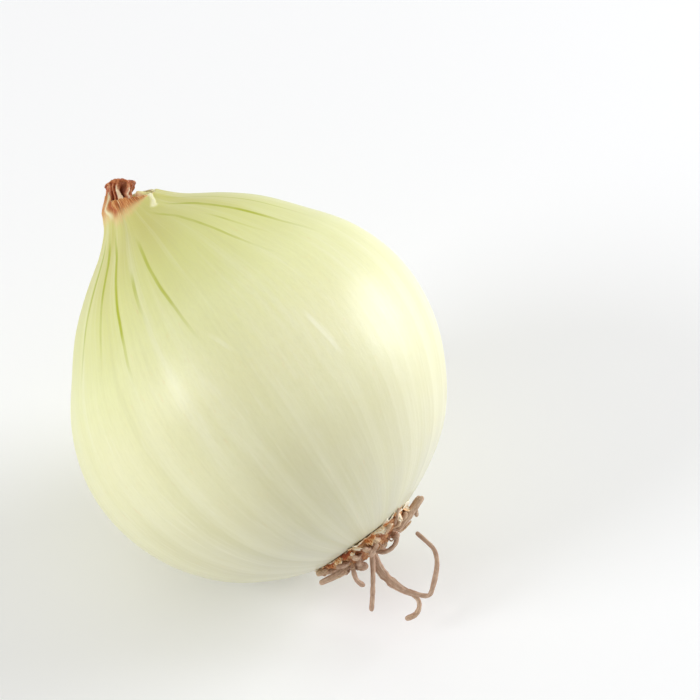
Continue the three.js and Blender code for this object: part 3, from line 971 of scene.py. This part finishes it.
def makePlate():
    rings = [(radius, -rootFace - beyond) for radius, beyond in roots["plate"]]
    piece = startRing("plate", roots["plateSides"], *rings[0])
    bpy.ops.mesh.edge_face_add()
    selectRing(piece, rings[0][1])
    growRings(rings[0], rings[1:])
    bpy.ops.mesh.edge_face_add()
    closeUp(piece, 2)
    strand = []
    for vertex in piece.data.vertices:
        x, y, height = vertex.co
        under = smoothStep(-height, rootFace + 0.3, rootFace + 1.4)
        lumps = noise.noise(Vector((x, y, height)) * 0.55)
        crumbs = noise.noise(Vector((x, y, height)) * 1.7)
        push = under * (0.9 * lumps + 0.4 * crumbs)
        out = 1 + 0.02 * push
        vertex.co = (rootsAcross + x * out, y * out, height - 0.55 * push)
        strand.append((0, 2 + 0.4 * lumps + 0.25 * crumbs, math.atan2(y, x)))
    keepAttribute(piece, "strand", strand, "FLOAT_VECTOR")
    return piece


def makeFlake(index, kind):  # a scrap of dead skin at the edge of the plate
    deselectAll()
    bpy.ops.mesh.primitive_grid_add(x_subdivisions=9, y_subdivisions=7, size=1)
    piece = bpy.context.object
    hangs = kind == "skirt"
    length, lengthVaries = roots[kind]["length"]
    start, startVaries = roots[kind]["start"]
    around = fullTurn * (index + 0.9 * draw(index + 400)) / roots[kind]["count"]
    length += lengthVaries * draw(index + 430)
    length *= 0.78 + 0.22 * math.cos(around)
    width = 2.4 + 1.2 * draw(index + 460)
    curl = 0.8 * max(0, draw(index + 490))
    skew = 1.3 * draw(index + 505)
    start += startVaries * draw(index + 550)
    tone = 3 + 0.35 * draw(index + 520) + 0.22 * math.cos(around) - 0.05
    strand = []
    for vertex in piece.data.vertices:
        x, y, _ = vertex.co
        along = x + 0.5
        torn = 1 + 0.6 * noise.noise(Vector((y * 4, index * 3.1, 0)))
        reach = length * along * torn
        taper = 1 - (0.35 + 0.3 * curl) * along ** 2
        beside = y * width * taper + skew * along ** 2
        belly = 0.3 * (1 - 4 * y * y) * along + 0.12 * noise.noise(Vector((x * 3, y * 6, index)))
        if hangs:
            far = start + 0.35 + 0.35 * along + 0.9 * curl * along ** 2 + belly
            height = -rootFace - 0.05 - reach
        else:
            far = start + reach
            lift = 0.03 + 0.12 * (1 - along) + 1.3 * curl * along ** 2 + belly
            height = max(0.1 - rootFace, skinHeight(far)) - lift
        aroundHere = around + beside / roots["flakeRadius"]
        vertex.co = (rootsAcross + far * math.cos(aroundHere), far * math.sin(aroundHere), height)
        strand.append((along, tone + 0.25 * along * along, y))
    keepAttribute(piece, "strand", strand, "FLOAT_VECTOR")
    thick = piece.modifiers.new("thick", "SOLIDIFY")
    thick.thickness = 0.12
    thick.offset = 0
    bpy.ops.object.modifier_apply(modifier="thick")
    bpy.ops.object.shade_smooth()
    return piece


def rootMaterial():
    dry = Wiring("dry_root_fibre")
    strand = dry.attribute("strand", "Vector")
    _, tone, around = dry.split(strand)
    point = dry.objectPoint()
    mottle = dry.grain(point, 520, 4, 0.6)
    speckle = dry.grain(point, 2200, 3, 0.6)

    # the roots are grey brown, the yellower ones with a pale middle on their broad faces and darker
    # sides, which is painted light and shade
    wrinkles = dry.streaks(strand, (8, 7, 3), 3, 0.6)
    colour = dry.ramp(dry.weigh(mottle, 0.45, wrinkles, 0.55), [
        (0.32, srgb(136, 102, 80)), (0.46, srgb(180, 145, 121)), (0.58, srgb(203, 175, 152)),
        (0.7, srgb(234, 214, 190)),
    ])
    colour = dry.mix(dry.span(tone, 0.2, 1, 0, 0.3), colour, srgb(226, 192, 142))
    # painted light: pale down the middle of each broad face, darker towards the edges
    middle = dry.span(dry.calc("ABSOLUTE", dry.calc("COSINE", around)), 0.55, 1)
    middle = dry.times(middle, dry.span(tone, 0.1, 0.8, 0.12, 0.6))
    middle = dry.times(middle, dry.span(wrinkles, 0.35, 0.6))
    colour = dry.mix(middle, colour, srgb(246, 222, 178))

    # a tone of about 2 is the plate, and one of about 3 a scrap of skin
    plate = dry.ramp(dry.weigh(mottle, 0.6, speckle, 0.4), [
        (0.34, srgb(104, 50, 24)), (0.46, srgb(164, 98, 54)), (0.56, srgb(204, 156, 108)),
        (0.7, srgb(236, 214, 180)),
    ])
    streaks = dry.weigh(dry.streaks(strand, (1.5, 9, 12), 3, 0.6), 0.6, mottle, 0.4)
    scraps = dry.ramp(dry.plus(streaks, dry.times(dry.minus(tone, 3), 0.5)), [
        (0.3, srgb(150, 66, 26)), (0.44, srgb(206, 124, 62)), (0.54, srgb(240, 200, 146)),
        (0.66, srgb(254, 244, 218)),
    ])
    colour = dry.mix(dry.span(tone, 1.1, 1.5), colour, plate)
    colour = dry.mix(dry.span(tone, 2.3, 2.5), colour, scraps)
    dry.link(colour, dry.shader.inputs["Base Color"])
    dry.link(dry.span(mottle, 0.3, 0.7, 0.6, 0.85), dry.shader.inputs["Roughness"])
    dry.bump(dry.plus(wrinkles, speckle), 0.5, 0.0003)
    dry.constants(Subsurface_Weight=0.08, Subsurface_Radius=(1.0, 0.6, 0.4), Subsurface_Scale=0.0008)
    return dry.material


def longRoots(pattern):  # the ones that stand out
    pieces = []
    for i, (width, flatness, swell, way) in enumerate(roots["long"]):
        runsAside = abs(way[0][2] - way[-1][2]) > 6
        facing = alongAxis if runsAside else toViewer
        tone = 0.5 * draw(i + 700) + 0.5 * (flatness > 1.2)
        width *= roots["radius"]
        pieces.append(growRoot(pattern, way, width, flatness, facing, tone, swell))
    return pieces


def ringPoint(far, down, side, around):  # a point of a root's way, at a place round the plate
    across = rootsAcross + far * math.cos(around) - side * math.sin(around)
    return (across, down, far * math.sin(around) + side * math.cos(around))


def edgeRoots(pattern):  # broken roots pressed flat round the edge
    pieces = []
    for i in range(roots["edgeCount"]):
        around = fullTurn * (i + 0.35 * draw(i)) / roots["edgeCount"]
        reach = 12.3 + 1.1 * draw(i + 50)
        out = 2.1 + 0.5 * draw(i + 90)
        swerve = 0.14 * draw(i + 130)
        way = [
            ringPoint(6, 1.8, 0, around),
            ringPoint(9.6, out, 0, around + 0.5 * swerve),
            ringPoint(reach, out - 0.7, 0, around + swerve),
        ]
        width = roots["radius"] * (1.2 + 0.25 * draw(i + 170))
        tone = 0.5 + 0.5 * draw(i + 730)
        pieces.append(growRoot(pattern, way, width, 1.6, alongAxis, tone))
    return pieces


def faceRoots(pattern):  # broken roots on the face
    pieces = []
    for i in range(roots["faceCount"]):
        around = fullTurn * (i * 0.382 + 0.1)
        far = 1.4 + 6 * math.sqrt(i / roots["faceCount"])
        reach = 5.2 - 0.25 * far + 0.8 * draw(i + 210)
        drift = 1.6 * draw(i + 250)
        way = [
            ringPoint(far, 1.6, 0, around),
            ringPoint(far + 0.5, 0.6 * reach + 0.9, 0.4 * drift, around),
            ringPoint(far + 1.3, reach, drift, around),
        ]
        width = roots["radius"] * (1.4 + 0.3 * draw(i + 290))
        pieces.append(growRoot(pattern, way, width, 1.2, toViewer, 0.3 * draw(i + 760)))
    return pieces


def rootlets(pattern):  # thin and broken, among the others
    pieces = []
    for i in range(roots["hairs"]):
        around = fullTurn * (i + 0.6 * draw(i + 800)) / roots["hairs"]
        far = 5.5 + 3.5 * draw(i + 830)
        lift = 0.9 * (1 - abs(far - 5.5) / 8)
        tip = far + 2.4 + 0.8 * draw(i + 890)
        way = [
            ringPoint(far, 1.4 + lift, 0, around),
            ringPoint(far + 1.1, 2.9 + 1.4 * lift, 0.8 * draw(i + 860), around),
            ringPoint(tip, 2.6 + 1.6 * lift, 1.8 * draw(i + 920), around),
        ]
        width = 0.2 + 0.08 * draw(i + 950)
        tone = 0.5 + 0.5 * draw(i + 980)
        pieces.append(growRoot(pattern, way, width, 1, toViewer, tone))
    return pieces


def makeRootTuft():
    pattern = makeStraightRoot()
    pieces = [makePlate()]
    pieces += longRoots(pattern) + edgeRoots(pattern) + faceRoots(pattern) + rootlets(pattern)
    pieces += [makeFlake(i, "flakes") for i in range(roots["flakes"]["count"])]
    pieces += [makeFlake(i + 100, "skirt") for i in range(roots["skirt"]["count"])]

    deselectAll()
    pattern.select_set(True)
    bpy.ops.object.delete()
    for piece in pieces:
        piece.select_set(True)
    bpy.context.view_layer.objects.active = pieces[0]
    bpy.ops.object.join()
    tuft = bpy.context.object
    tuft.name = tuft.data.name = "rootTuft"
    layDown(tuft)
    dressAs(tuft, "root_tuft", rootMaterial())
    print("root tuft made of", len(pieces), "strands")


makeCamera()
makeLights()
makeFloor()
makeBulb()
makeNeckStub()
makeRootTuft()
deselectAll()
